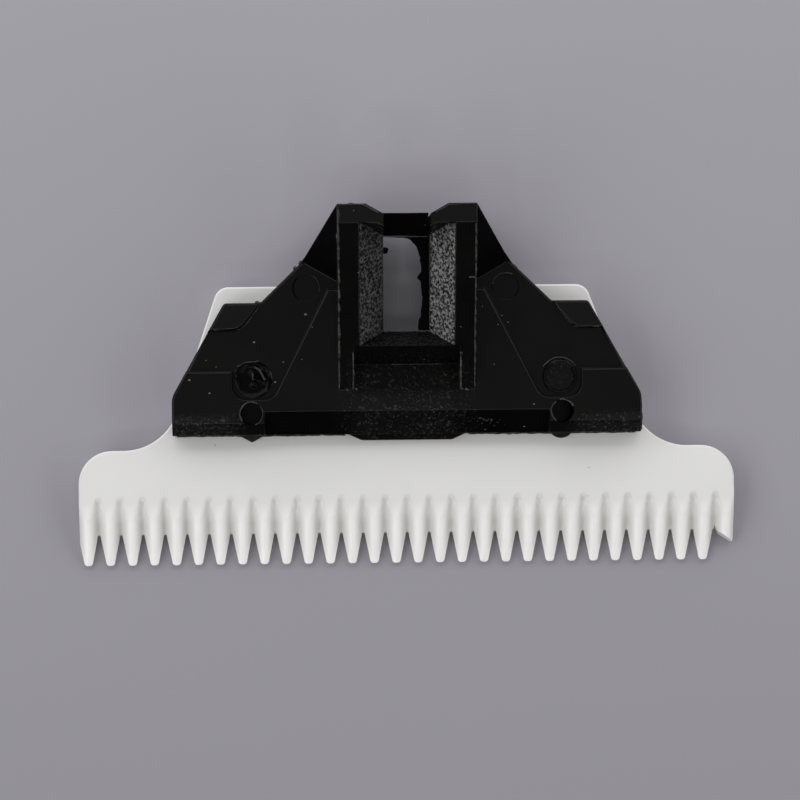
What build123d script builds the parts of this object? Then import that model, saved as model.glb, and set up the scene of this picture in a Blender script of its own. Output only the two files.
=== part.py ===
from build123d import *
import os
from math import atan2, cos, pi, radians, sin, tan

# Hair clipper blade: a white ceramic cutter plate with a black moulded drive follower bonded on top.
# Frame: +Z up, teeth towards -Y, drive yoke towards +Y. The origin is the middle of the plate's lapped
# underside, half-way between the tooth tips and the back edge. Millimetres and degrees.

os.makedirs("parts", exist_ok=True)

# Tooth row
tooth_count = 30
tooth_pitch = 1.5
tooth_length = 2.1  # tip to the root of the gap
tooth_tip_width = 0.5
tooth_tip_radius = 0.22
gap_root_width = 0.2
row_end_trim = 0.2  # the plate ends this far inside the last gap's centre line
bevel_length = 3.73  # ground bevel, from the tips back to the flat top
tip_thickness = 0.3
scallop_depth = 0.4  # hollow between two tooth crests, square to the bevel
scallop_radius = 0.3  # at the bottom of the hollow

# Cutter plate
plate_depth = 18.9
plate_thickness = 1.6
plate_waist_width = 32.88  # between the sides, at the shoulder line
plate_back_width = 25.0
plate_back_shift = -0.23  # the back edge is off the tooth row's middle by this much
shoulder_depth = 7.85  # tooth tips back to the shoulders
shoulder_radius = 2.27
sweep_radius = 3.9
back_corner_radius = 1.0
plate_edge_break = 0.11  # ground off the top edge
notch_clearance = 0.6  # back notch round the drive slot, on each side
break_rise = 0.28  # the broken face starts this far behind the last gap's root
break_knee_run = 0.3
break_knee_drop = 0.2
break_end_drop = 0.95
break_slope = 12.0  # lean of the broken face

# Studs that locate the follower on the plate, cored from above as the spring holes
stud_spacing = 21.0
stud_y = 0.83
stud_radius = 1.2
stud_clearance = 0.1
stud_end_gap = 0.3  # stud ends stay this far above the lapped face
core_radius = 0.75
core_floor = 0.7  # stud end thickness under the core

# Follower base
follower_width = 31.7
follower_front_y = -0.62
side_break_y = 2.0
side_break_radius = 1.5
ledge_width = 24.6
ledge_back_y = 8.3
ledge_line_y = 6.42
ledge_line_length = 2.06  # straight stretch of the ledge line, in from the side
ledge_line_radius = 1.2
ledge_corner_radius = 0.35
neck_width = 19.7
neck_knee_width = 14.0
neck_knee_y = 11.05
wing_thickness = 1.75
front_step = 0.35  # front plateau above the wings
ledge_step = 0.22  # back corners above the wings
step_radius = 0.2
plateau_line_y = 3.72
lobe_width = 2.68  # hollow round the gate mark
lobe_shift = 0.06  # hollow's middle, outwards from the gate mark
lobe_margin = 0.07  # hollow's front edge, in front of the gate mark
lobe_radius = 0.9
ridge_top_width = 10.6
ridge_top_y = 9.2
lip_height = 0.45
front_bevel_run = 1.58
front_bevel_fall = 1.1
front_bevel_gap = 0.12  # wall between the deep front bevel and the spring holes
end_chamfer = 0.8
tab_width = 8.0
tab_tip_width = 6.1
tab_reach = 0.42
tab_corner_radius = 0.5

# Gate and ejector marks
gate_spacing = 20.7
gate_y = 3.15
gate_radius = 1.25
gate_depth = 0.35
ring_radius = 1.17
ring_groove = 0.22
ring_depth = 0.15
pad_spacing = 13.46
pad_y = 9.28
pad_radius = 0.9
pad_depth = 0.1

# Drive yoke
cheek_width = 9.3
cheek_edge_radius = 0.15
land_height = 4.5  # cheek lands above the front plateau
land_length = 1.27
yoke_back_y = 14.67
ramp_foot_y = 2.37
mouth_width = 6.4
mouth_depth = 2.2
slot_width = 3.1
slot_front_y = 6.3
bar_height = 2.5
bar_length = 1.5
bar_setback = 0.41  # bar's back face, in front of the yoke's
bar_fall = 0.8
crest_y = 5.3
crest_run = 1.2  # cross wall's front slope
recess_width = 7.1
land_flare_width = 5.5  # where the lands turn in towards the slot
land_flare_setback = 0.68
gusset_foot_y = 9.7
gusset_drop = 0.25

# Adhesive squeezed out in front of the studs
bead_height = 0.35
bead_tip_height = 0.12
left_bead_width = 1.84
left_bead_reach = 0.5
left_bead_tip_radius = 0.12
right_bead_width = 1.45
right_bead_reach = 0.4

# Derived levels and places
cut_margin = 1.0  # cutters run this far past what they cut
fillet_share = 0.49  # most of a wall that one rounding takes
plate_half = tooth_count * tooth_pitch / 2 - row_end_trim
tip_y = -plate_depth / 2
back_y = plate_depth / 2
gap_root_y = tip_y + tooth_length
bevel_y = tip_y + bevel_length
shoulder_y = tip_y + shoulder_depth
bevel_angle = atan2(plate_thickness - tip_thickness, bevel_length)
wing_top = plate_thickness + wing_thickness
front_top = wing_top + front_step
ledge_top = wing_top + ledge_step
land_top = front_top + land_height
follower_half = follower_width / 2
cheek_half = cheek_width / 2
slot_half = slot_width / 2
slot_back_y = yoke_back_y - bar_setback - bar_length
land_front_y = yoke_back_y - land_length
ramp_angle = atan2(land_height, land_front_y - ramp_foot_y)
gate_half = gate_spacing / 2


def both_sides(right):
    """Close a right-hand outline with its mirror image."""
    return right + [(-x, y) for x, y in reversed(right)]


def side_x(y):
    """Half width of the follower's slanted side at a given depth."""
    share = (y - side_break_y) / (ledge_back_y - side_break_y)
    return follower_half + share * (ledge_width / 2 - follower_half)


def ramp_z(y):
    """Height of the cheeks' ramp at a given depth."""
    return front_top + (y - ramp_foot_y) * tan(ramp_angle)


# Gap between two teeth, its round root at the origin
gap_tip_half = (tooth_pitch - tooth_tip_width) / 2
root_half = gap_root_width / 2
flank_run = (gap_tip_half - root_half) / (tooth_length - root_half)
gap_end = tooth_length + cut_margin
gap_end_half = root_half + flank_run * (gap_end - root_half)
with BuildSketch() as tooth_gap:
    with BuildLine():
        ThreePointArc((-root_half, -root_half), (0, 0), (root_half, -root_half))
        Polyline(
            (root_half, -root_half),
            (gap_end_half, -gap_end),
            (-gap_end_half, -gap_end),
            (-root_half, -root_half),
        )
    make_face()

# Ceramic cutter plate
waist_half = plate_waist_width / 2
shoulder_run = plate_half - waist_half
side_lean = atan2(waist_half - plate_back_width / 2, back_y - shoulder_y)
shoulder_fillet = min(shoulder_radius, fillet_share * shoulder_run)
sweep_fillet = min(sweep_radius, fillet_share * shoulder_run / tan(pi / 4 - side_lean / 2))
with BuildPart() as cutter_plate:
    with BuildSketch() as plate_outline:
        with BuildLine():
            Polyline(
                (-plate_half, tip_y),
                (plate_half, tip_y),
                (plate_half, shoulder_y),
                (waist_half, shoulder_y),
                (plate_back_shift + plate_back_width / 2, back_y),
                (plate_back_shift - plate_back_width / 2, back_y),
                (-waist_half, shoulder_y),
                (-plate_half, shoulder_y),
                close=True,
            )
        make_face()
        fillet(plate_outline.vertices().group_by(Axis.Y)[-1], back_corner_radius)
        fillet(plate_outline.vertices().group_by(Axis.Y)[1].sort_by(Axis.X)[1:3], sweep_fillet)
        fillet(plate_outline.vertices().group_by(Axis.X)[0].sort_by(Axis.Y)[-1:], shoulder_fillet)
        fillet(plate_outline.vertices().group_by(Axis.X)[-1].sort_by(Axis.Y)[-1:], shoulder_fillet)
        with Locations((0, gap_root_y)):
            with GridLocations(tooth_pitch, tooth_pitch, tooth_count + 1, 1):
                add(tooth_gap.sketch, mode=Mode.SUBTRACT)
        fillet(plate_outline.vertices().group_by(Axis.Y)[0], min(tooth_tip_radius, fillet_share * tooth_tip_width))
    extrude(amount=plate_thickness)
    top_edges = cutter_plate.faces().sort_by(Axis.Z)[-1].edges()
    chamfer(top_edges.filter_by(lambda edge: edge.bounding_box().min.Y > bevel_y), plate_edge_break)

    # Ground bevel whose scallops leave each tooth with a rounded crest
    bevel_plane = Plane(
        origin=(0, bevel_y, plate_thickness),
        x_dir=(1, 0, 0),
        z_dir=(0, -cos(bevel_angle), -sin(bevel_angle)),
    )
    row_half = tooth_count * tooth_pitch / 2
    scallop_runout = scallop_depth / tan(bevel_angle) + bevel_length / cos(bevel_angle) + cut_margin
    flank_angle = 2 * atan2(scallop_depth, tooth_pitch / 2)
    hollow_half = scallop_radius * sin(flank_angle)
    crest_half = tooth_pitch / 2 - hollow_half
    crest_drop = scallop_depth - scallop_radius * (1 - cos(flank_angle))
    with BuildSketch(bevel_plane):
        with BuildLine():
            for tooth in range(tooth_count):
                crest_x = tooth * tooth_pitch + tooth_pitch / 2 - row_half
                ThreePointArc(
                    (crest_x - crest_half, -crest_drop),
                    (crest_x, 0),
                    (crest_x + crest_half, -crest_drop),
                )
            for hollow in range(1, tooth_count):
                hollow_x = hollow * tooth_pitch - row_half
                ThreePointArc(
                    (hollow_x - hollow_half, -crest_drop),
                    (hollow_x, -scallop_depth),
                    (hollow_x + hollow_half, -crest_drop),
                )
            Polyline(
                (row_half - hollow_half, -crest_drop),
                (row_half, -scallop_depth),
                (row_half, plate_thickness + cut_margin),
                (-row_half, plate_thickness + cut_margin),
                (-row_half, -scallop_depth),
                (hollow_half - row_half, -crest_drop),
            )
        make_face()
    extrude(amount=scallop_runout, both=True, mode=Mode.SUBTRACT)

    # Broken outermost tooth at the right-hand end
    last_gap_x = row_half - tooth_pitch
    break_plane = Plane(
        origin=(last_gap_x, gap_root_y, plate_thickness / 2),
        x_dir=(1, 0, 0),
        z_dir=(0, sin(radians(break_slope)), cos(radians(break_slope))),
    )
    with BuildSketch(break_plane):
        with BuildLine():
            Polyline(
                (0, break_rise),
                (break_knee_run, -break_knee_drop),
                (tooth_pitch, -break_end_drop),
                (tooth_pitch, -gap_end),
                (0, -gap_end),
                close=True,
            )
        make_face()
    extrude(amount=plate_thickness, both=True, mode=Mode.SUBTRACT)

    # Stud holes, and the notch that leaves room for the drive pin
    with Locations((0, stud_y)):
        with GridLocations(stud_spacing, stud_spacing, 2, 1):
            Hole(stud_radius + stud_clearance)
    notch_front_y = slot_front_y - notch_clearance
    with BuildSketch():
        with Locations((0, notch_front_y)):
            Rectangle(
                slot_width + 2 * notch_clearance,
                back_y - notch_front_y + cut_margin,
                align=(Align.CENTER, Align.MIN),
            )
    extrude(amount=plate_thickness, mode=Mode.SUBTRACT)
cutter_plate.part.label = "cutter_plate"
export_step(cutter_plate.part, "parts/cutter_plate.step")

# Follower's front plateau, with hollows round the gate marks and slanted ridges up to the yoke
lobe_outer = gate_half + lobe_shift + lobe_width / 2
lobe_inner = gate_half + lobe_shift - lobe_width / 2
lobe_front_y = gate_y - gate_radius - lobe_margin
with BuildPart() as front_plateau:
    with BuildSketch(Plane.XY.offset(plate_thickness)) as plateau_outline:
        with BuildLine():
            Polyline(
                *both_sides(
                    [
                        (follower_half, follower_front_y),
                        (follower_half, side_break_y),
                        (side_x(plateau_line_y), plateau_line_y),
                        (lobe_outer, plateau_line_y),
                        (lobe_outer, lobe_front_y),
                        (lobe_inner, lobe_front_y),
                        (ridge_top_width / 2, ridge_top_y),
                    ]
                ),
                close=True,
            )
        make_face()
        fillet(plateau_outline.vertices().group_by(Axis.Y)[1], lobe_radius)
        fillet(plateau_outline.vertices().group_by(Axis.X)[0].sort_by(Axis.Y)[-1:], side_break_radius)
        fillet(plateau_outline.vertices().group_by(Axis.X)[-1].sort_by(Axis.Y)[-1:], side_break_radius)
    extrude(amount=front_top - plate_thickness)
    fillet(front_plateau.faces().sort_by(Axis.Z)[-1].edges(), step_radius)

# Raised back corner of the base, right-hand side
with BuildPart() as back_ledge:
    with BuildSketch(Plane.XY.offset(plate_thickness)) as ledge_outline:
        with BuildLine():
            Polyline(
                (side_x(ledge_line_y), ledge_line_y),
                (ledge_width / 2, ledge_back_y),
                (neck_width / 2, ledge_back_y),
                (side_x(ledge_line_y) - ledge_line_length, ledge_line_y),
                close=True,
            )
        make_face()
        fillet(ledge_outline.vertices().group_by(Axis.Y)[-1].sort_by(Axis.X)[-1:], ledge_corner_radius)
        fillet(ledge_outline.vertices().group_by(Axis.Y)[0].sort_by(Axis.X)[:1], ledge_line_radius)
    extrude(amount=ledge_top - plate_thickness)
    fillet(back_ledge.faces().sort_by(Axis.Z)[-1].edges(), step_radius)

# Gusset from the neck up to the yoke's back corner, right-hand side
gusset_foot = Vector(cheek_half, gusset_foot_y, wing_top)
gusset_knee = Vector(neck_knee_width / 2, neck_knee_y, wing_top)
gusset_peak = Vector(cheek_half, yoke_back_y, land_top - gusset_drop)
gusset_slope = Plane(
    origin=gusset_foot,
    z_dir=(gusset_knee - gusset_foot).cross(gusset_peak - gusset_foot),
)
with BuildPart() as gusset:
    with BuildSketch(Plane.XY.offset(plate_thickness)):
        with BuildLine():
            Polyline(
                (0, gusset_foot_y),
                (cheek_half, gusset_foot_y),
                (neck_knee_width / 2, neck_knee_y),
                (cheek_half, yoke_back_y),
                (0, yoke_back_y),
                close=True,
            )
        make_face()
    extrude(amount=land_top - plate_thickness)
    split(bisect_by=gusset_slope, keep=Keep.BOTTOM)
    split(bisect_by=Plane.YZ.offset(slot_half), keep=Keep.TOP)

# Wedge of the yoke, before its mouth and slot are opened
with BuildPart() as yoke_wedge:
    with BuildSketch(Plane.YZ):
        with BuildLine():
            Polyline(
                (ramp_foot_y, plate_thickness),
                (ramp_foot_y, front_top),
                (land_front_y, land_top),
                (yoke_back_y, land_top),
                (yoke_back_y, plate_thickness),
                close=True,
            )
        make_face()
    extrude(amount=cheek_half, both=True)
    left_edges = yoke_wedge.edges().group_by(Axis.X)[0].sort_by(Axis.Z)[-2:]
    right_edges = yoke_wedge.edges().group_by(Axis.X)[-1].sort_by(Axis.Z)[-2:]
    fillet(left_edges + right_edges, cheek_edge_radius)

# Funnel mouth that leads the drive pin into the slot, parallel to the ramp, closed by flared lands behind
mouth_plane = Plane(
    origin=(0, crest_y, ramp_z(crest_y)),
    x_dir=(1, 0, 0),
    z_dir=(0, -sin(ramp_angle), cos(ramp_angle)),
)
mouth_front_run = (slot_front_y - crest_y - mouth_depth * sin(ramp_angle)) / cos(ramp_angle)
mouth_length = (yoke_back_y - crest_y) / cos(ramp_angle) + cut_margin
with BuildPart() as drive_mouth:
    for level in (cut_margin, -mouth_depth):
        share = -level / mouth_depth
        half = mouth_width / 2 + share * (slot_width - mouth_width) / 2
        front = share * mouth_front_run
        with BuildSketch(mouth_plane.offset(level)):
            with BuildLine():
                Polyline((-half, front), (half, front), (half, mouth_length), (-half, mouth_length), close=True)
            make_face()
    loft()
    with BuildSketch():
        with BuildLine():
            Polyline(
                *both_sides(
                    [
                        (cheek_half, crest_y - mouth_length),
                        (cheek_half, land_front_y),
                        (land_flare_width / 2, land_front_y),
                        (slot_half, land_front_y - land_flare_setback),
                    ]
                ),
                close=True,
            )
        make_face()
    extrude(amount=land_top + mouth_length, mode=Mode.INTERSECT)

# Black moulded drive follower
with BuildPart() as drive_follower:
    with BuildSketch(Plane.XY.offset(plate_thickness)) as base_outline:
        with BuildLine():
            Polyline(
                *both_sides(
                    [
                        (follower_half, follower_front_y),
                        (follower_half, side_break_y),
                        (ledge_width / 2, ledge_back_y),
                        (neck_width / 2, ledge_back_y),
                        (neck_knee_width / 2, neck_knee_y),
                        (cheek_half, yoke_back_y),
                    ]
                ),
                close=True,
            )
        make_face()
        ledge_corners = base_outline.vertices().group_by(Axis.Y)[2].sort_by(Axis.X)
        fillet([ledge_corners[0], ledge_corners[-1]], ledge_corner_radius)
        fillet(base_outline.vertices().group_by(Axis.X)[0].sort_by(Axis.Y)[-1:], side_break_radius)
        fillet(base_outline.vertices().group_by(Axis.X)[-1].sort_by(Axis.Y)[-1:], side_break_radius)
    extrude(amount=wing_thickness)
    fillet(drive_follower.faces().sort_by(Axis.Z)[-1].edges(), step_radius)
    add(front_plateau.part)
    for raised in (back_ledge, gusset):
        add(raised.part)
        add(raised.part.mirror(Plane.YZ))
    add(yoke_wedge.part)

    # Funnel mouth, and the through slot under it, open to the back above the bar
    add(drive_mouth.part, mode=Mode.SUBTRACT)
    with BuildSketch(Plane.XY.offset(plate_thickness)):
        with Locations((0, slot_front_y)):
            Rectangle(slot_width, slot_back_y - slot_front_y, align=(Align.CENTER, Align.MIN))
    extrude(amount=land_top, mode=Mode.SUBTRACT)
    with BuildSketch(Plane.XY.offset(plate_thickness)):
        with BuildLine():
            Polyline(
                *both_sides(
                    [
                        (slot_half, slot_back_y - cut_margin),
                        (slot_half, yoke_back_y - land_flare_setback),
                        (land_flare_width / 2, yoke_back_y),
                        (land_flare_width / 2, yoke_back_y + cut_margin),
                    ]
                ),
                close=True,
            )
        make_face()
    extrude(amount=land_top, mode=Mode.SUBTRACT)
    bar_top = plate_thickness + bar_height
    with BuildSketch(Plane.YZ):
        with BuildLine():
            Polyline(
                (slot_back_y, plate_thickness),
                (slot_back_y, bar_top - bar_fall),
                (slot_back_y + bar_length, bar_top),
                (slot_back_y + bar_length, plate_thickness),
                close=True,
            )
        make_face()
    extrude(amount=slot_half, both=True)

    # Recess between the legs, with the cross wall's front slope
    with BuildSketch(Plane.YZ):
        with BuildLine():
            Polyline(
                (ramp_foot_y - cut_margin, front_top),
                (crest_y - crest_run, front_top),
                (crest_y, ramp_z(crest_y)),
                (crest_y, land_top),
                (ramp_foot_y - cut_margin, land_top),
                close=True,
            )
        make_face()
    extrude(amount=recess_width / 2, both=True, mode=Mode.SUBTRACT)

    # Front edge: a small chamfer at the ends, a deep bevel between the studs, and the centre tab
    front_bevel_half = stud_spacing / 2 - core_radius - front_bevel_gap
    for half_width, bevel_run, bevel_fall in (
        (follower_half, end_chamfer, end_chamfer),
        (front_bevel_half, front_bevel_run, front_bevel_fall),
    ):
        with BuildSketch(Plane.YZ):
            with BuildLine():
                Polyline(
                    (follower_front_y, front_top - bevel_fall),
                    (follower_front_y + bevel_run, front_top),
                    (follower_front_y, front_top),
                    close=True,
                )
            make_face()
        extrude(amount=half_width, both=True, mode=Mode.SUBTRACT)
    with BuildSketch(Plane.XY.offset(plate_thickness)) as tab_outline:
        with BuildLine():
            Polyline(
                *both_sides(
                    [
                        (tab_width / 2, follower_front_y + tab_reach),
                        (tab_width / 2, follower_front_y),
                        (tab_tip_width / 2, follower_front_y - tab_reach),
                    ]
                ),
                close=True,
            )
        make_face()
        fillet(tab_outline.vertices().group_by(Axis.Y)[0], tab_corner_radius)
    extrude(amount=lip_height)

    # Studs into the plate, cored from above
    with BuildSketch(Plane.XY.offset(stud_end_gap)):
        with Locations((0, stud_y)):
            with GridLocations(stud_spacing, stud_spacing, 2, 1):
                Circle(stud_radius)
    extrude(amount=plate_thickness - stud_end_gap)
    with BuildSketch(Plane.XY.offset(stud_end_gap + core_floor)):
        with Locations((0, stud_y)):
            with GridLocations(stud_spacing, stud_spacing, 2, 1):
                Circle(core_radius)
    extrude(amount=land_top, mode=Mode.SUBTRACT)

    # Gate recess at the left, insert ring at the right, and two ejector pads
    with BuildSketch(Plane.XY.offset(wing_top)):
        with Locations((-gate_half, gate_y)):
            Circle(gate_radius)
    extrude(amount=-gate_depth, mode=Mode.SUBTRACT)
    with BuildSketch(Plane.XY.offset(wing_top)):
        with Locations((gate_half, gate_y)):
            Circle(ring_radius)
            Circle(ring_radius - ring_groove, mode=Mode.SUBTRACT)
    extrude(amount=-ring_depth, mode=Mode.SUBTRACT)
    with BuildSketch(Plane.XY.offset(wing_top)):
        with Locations((0, pad_y)):
            with GridLocations(pad_spacing, pad_spacing, 2, 1):
                Circle(pad_radius)
    extrude(amount=-pad_depth, mode=Mode.SUBTRACT)
drive_follower.part.label = "drive_follower"
export_step(drive_follower.part, "parts/drive_follower.step")

# Adhesive beads in front of the studs: a pointed one at the left, a rounder one at the right
def bead_slope(reach):
    """Plane of a bead's top, falling from the follower's front face to the bead's tip."""
    fall = atan2(bead_height - bead_tip_height, reach)
    top = (0, follower_front_y, plate_thickness + bead_height)
    return Plane(origin=top, x_dir=(1, 0, 0), z_dir=(0, -sin(fall), cos(fall)))


bead_x = stud_spacing / 2
with BuildPart() as adhesive_bead_left:
    with BuildSketch(Plane.XY.offset(plate_thickness)) as left_bead_outline:
        with BuildLine():
            Polyline(
                (-bead_x - left_bead_width / 2, follower_front_y),
                (-bead_x, follower_front_y - left_bead_reach),
                (-bead_x + left_bead_width / 2, follower_front_y),
                close=True,
            )
        make_face()
        fillet(left_bead_outline.vertices().group_by(Axis.Y)[0], left_bead_tip_radius)
    extrude(amount=bead_height)
    split(bisect_by=bead_slope(left_bead_reach), keep=Keep.BOTTOM)
adhesive_bead_left.part.label = "adhesive_bead_left"
export_step(adhesive_bead_left.part, "parts/adhesive_bead_left.step")

with BuildPart() as adhesive_bead_right:
    with BuildSketch(Plane.XY.offset(plate_thickness)):
        with BuildLine():
            ThreePointArc(
                (bead_x - right_bead_width / 2, follower_front_y),
                (bead_x, follower_front_y - right_bead_reach),
                (bead_x + right_bead_width / 2, follower_front_y),
            )
            Line(
                (bead_x + right_bead_width / 2, follower_front_y),
                (bead_x - right_bead_width / 2, follower_front_y),
            )
        make_face()
    extrude(amount=bead_height)
    split(bisect_by=bead_slope(right_bead_reach), keep=Keep.BOTTOM)
adhesive_bead_right.part.label = "adhesive_bead_right"
export_step(adhesive_bead_right.part, "parts/adhesive_bead_right.step")
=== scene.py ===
"""Looks of a hair clipper blade: a white ceramic plate under a black moulded drive follower."""

import math

import bmesh
import bpy
from bpy.props import FloatProperty, FloatVectorProperty, IntProperty, PointerProperty
from bpy.types import Operator, Panel, PropertyGroup
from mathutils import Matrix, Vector, noise
from mathutils.bvhtree import BVHTree


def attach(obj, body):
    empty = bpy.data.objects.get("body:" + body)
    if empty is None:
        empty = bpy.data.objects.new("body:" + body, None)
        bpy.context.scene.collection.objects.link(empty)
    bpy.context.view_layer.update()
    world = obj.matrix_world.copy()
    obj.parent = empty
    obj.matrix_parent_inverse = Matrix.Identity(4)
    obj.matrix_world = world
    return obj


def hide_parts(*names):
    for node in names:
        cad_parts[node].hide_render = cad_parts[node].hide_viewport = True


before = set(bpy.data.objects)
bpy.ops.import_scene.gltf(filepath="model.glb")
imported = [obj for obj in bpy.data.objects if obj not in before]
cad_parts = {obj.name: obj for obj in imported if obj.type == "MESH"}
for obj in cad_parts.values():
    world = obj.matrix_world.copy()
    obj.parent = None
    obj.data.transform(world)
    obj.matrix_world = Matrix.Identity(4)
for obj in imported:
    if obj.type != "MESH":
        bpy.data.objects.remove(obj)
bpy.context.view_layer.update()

bl_info = {
    "name": "Hair Clipper Blade",
    "version": (1, 0, 0),
    "blender": (4, 5, 0),
    "location": "View3D > Sidebar > Blade",
    "description": "Dresses the packed clipper blade in its ceramic, plastic and adhesive finishes",
    "category": "Object",
}

# Units, and the body that the pieces ride on
MM = 0.001
BODY = "root"

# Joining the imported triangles, and the angles past which an edge is sharp
MERGE_DISTANCE = 0.002 * MM
FLAT_ANGLE = math.radians(0.3)
SHARP_ANGLE = math.radians(19)
SMOOTH_ANGLE = math.radians(36)
PLATE_SMOOTH_ANGLE = math.radians(19)

# Values that a mesh hands to its finish or to its node tree
# The grain mark carries each funnel face's share of painted sheen and rubbing, and picks the faces
# that get grain
SHEEN_AND_WEAR_MARK = "grain"
GLOSS_MARK = "gloss"
THICK_MARK = "thick"

# Heights of the plate's top and of the point from which details are dropped
PLATE_TOP = 1.6 * MM
DROP_HEIGHT = 50 * MM

# Ground tooth row, in millimetres
TOOTH_PITCH = 1.5
CREST_HALF = 0.501
CREST_RADIUS = 0.6036
HOLLOW_RADIUS = 0.3
BEVEL_TILT = math.radians(19.21)
RUN_OUT_FRONT = -7.38
RUN_OUT_BACK = -4.38
RUN_OUT_STEP = 0.12
ROUND_DEPTH = 0.32

# A face of the plate is ground if it isn't level and looks about as the scallops do
LEVEL_RISE = 0.9999
GROUND_LIKENESS = 0.85

# Ceramic: white of the ground row, partly painted light on its front-tilted bevel, and painted
# shade with stain in its hollows; where each begins and is full, and roughness
GROUND_WHITE_AND_LIGHT = (0.87, 0.865, 0.855)
HOLLOW_SHADE_AND_STAIN = (0.56, 0.545, 0.515)
GROUND_ACROSS = (-5.2, -6.6)
HOLLOW_SHADE_BESIDE = (0.62, 0.05)
HOLLOW_SHADE_UP = (0.3, 0.6)
LAPPED_ROUGHNESS = 0.14
MARK_ROUGHNESS = 0.03

# Dark specks in the ceramic, in millimetres: place along and across the teeth, and radius
CERAMIC_SPECKS = (
    (-13.01, -1.27, 0.07), (12.38, -3.06, 0.06), (12.31, -4.99, 0.05), (-12.16, -4.95, 0.09),
)
SPECK_CORE = 0.4
SPECK_STRENGTH = 0.7
SPECK_SHADE = 0.2

# Holes, marks and pads of the follower, in millimetres along and across the teeth
SPRING_HOLE_LEFT = (-10.5, 0.83)
SPRING_HOLE_RIGHT = (10.5, 0.83)
SPRING_HOLE_RIM = 0.78
GATE_PLACE = (-10.35, 3.15)
GATE_RADIUS = 1.25
RING_PLACE = (10.35, 3.15)
RING_TOP = 3.35
RING_OUTER, RING_INNER = 1.3, 1.0
PAD_LEFT = (-6.73, 9.28)
PAD_RIGHT = (6.73, 9.28)
PAD_RIM = 0.92

# Funnel's faces: the room they lie in, in millimetres, and how they lean
FUNNEL_HALF = 3.3
FUNNEL_ACROSS = (5.2, 13.5)
FUNNEL_FOOT = 2.8
SIDE_LEAN, SIDE_RISE = 0.7, 0.4
FRONT_LEAN, FRONT_RISE = 0.8, 0.3

# Painted sheen with rubbing on the funnel's grain: its grey, and how much of it each face has; the
# right face, which faces the left lamp, gets most
SHEEN_AND_WEAR_GREY = (0.2, 0.2, 0.2)
RIGHT_SHEEN_AND_WEAR = 1.0
LEFT_SHEEN_AND_WEAR = 0.38
FRONT_SHEEN_AND_WEAR = 0.05
LEAST_SHEEN_AND_WEAR = 0.1
WORM_OFFSET = (0.004, 0.002, 0.001)

# Spark-eroded grain: waves in each pitch and weights of its bumps, its fine bumps and its pits
GRAIN_TURNS = 9
BUMP_WAVES = 1.7
FINE_WAVES, FINE_WEIGHT, FINE_OFFSET = 3.1, 0.6, Vector((7.0, 3.0, 5.0))
PIT_WAVES, PIT_WEIGHT, PIT_RADIUS = 0.8, 3.0, 0.32

# Spark-eroded ends, middle and ring: grey, where each begins and is full, and how strong it is
SPARK_GREY = (0.06, 0.06, 0.06)
ENDS_ALONG, ENDS_ACROSS = (10.6, 12.4), (1.0, 0.1)
MIDDLE_ALONG, MIDDLE_ACROSS, MIDDLE_FRONT = (5.2, 2.6), (5.4, 3.4), (2.0, 0.6)
RING_REACH = (1.15, 1.0)
MIDDLE_EROSION, FRONT_EROSION, RING_EROSION = 0.3, 0.4, 0.18

# Plastic: roughness of its skin and what streaks, rubbing and erosion add, and its polish
SKIN_ROUGHNESS, STREAK_ROUGHNESS, RUBBED_ROUGHNESS, ERODED_ROUGHNESS = 0.2, 0.08, 0.3, 0.1
SKIN_RELIEF = 0.03
POLISH = 0.44
RECESS_ALONG, RECESS_FRONT, RECESS_BACK = (3.9, 3.4), (1.9, 2.6), (7.0, 6.0)

# Where the mould polished the follower: limits in millimetres, and the share on each kind of face
RECESS_HALF, RECESS_END, RECESS_TOP = 3.5, 7.0, 3.68
YOKE_TOP = 8.0
LEDGE_HEIGHTS = (3.5, 3.62)
POLISH_RISE = 0.97
RAISED_POLISH, LEVEL_POLISH = 1.5, 1.0
STEP_AREA = 0.4 * MM ** 2
STEP_RISE = 0.1
GATE_STEP_ALONG, GATE_STEP_ACROSS = (8.9, 12.0), (1.5, 3.7)
GATE_STEP_POLISH, STEP_POLISH = 0.06, 0.3

# Flash, dust and adhesive: roughness, and what their unevenness adds
FLASH_ROUGHNESS, FLASH_UNEVEN = 0.22, 0.16
DUST_ROUGHNESS, DUST_UNEVEN = 0.8, 0.1
ADHESIVE_ROUGHNESS, ADHESIVE_UNEVEN = 0.3, 0.2

# Flash in the drive slot, in millimetres: its wall, foot, section and free edge
SLOT_WALL = 1.55
SLOT_FLASH_FOOT = 1.72
SLOT_FLASH_LIP, SLOT_FLASH_UNDER, SLOT_FLASH_OVER = 0.4, 0.06, 0.08
SLOT_FLASH_WAVE, SLOT_FLASH_WAVES = 0.05, 4.0
SLOT_FLASH_STEPS = 6
SLOT_FLASH_EDGE = (
    (-1.30, 12.74), (-0.60, 12.70), (0.00, 12.66), (0.39, 12.50), (0.79, 12.04), (0.97, 11.49),
    (1.05, 10.95), (1.08, 10.41), (0.86, 10.10), (0.84, 9.92), (1.04, 9.66), (1.10, 9.12),
    (1.16, 8.57), (1.09, 7.89), (1.01, 7.35), (0.84, 6.95), (0.87, 6.40),
)

# Lumps on the slot's left wall, in millimetres: place, height over the flash's foot, radii, seed
SLOT_LUMPS = (
    ((-1.42, 11.9), 0.5, (0.30, 0.13, 0.16), 3.0),
    ((-1.40, 11.75), 0.5, (0.20, 0.16, 0.14), 5.0),
)

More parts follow.
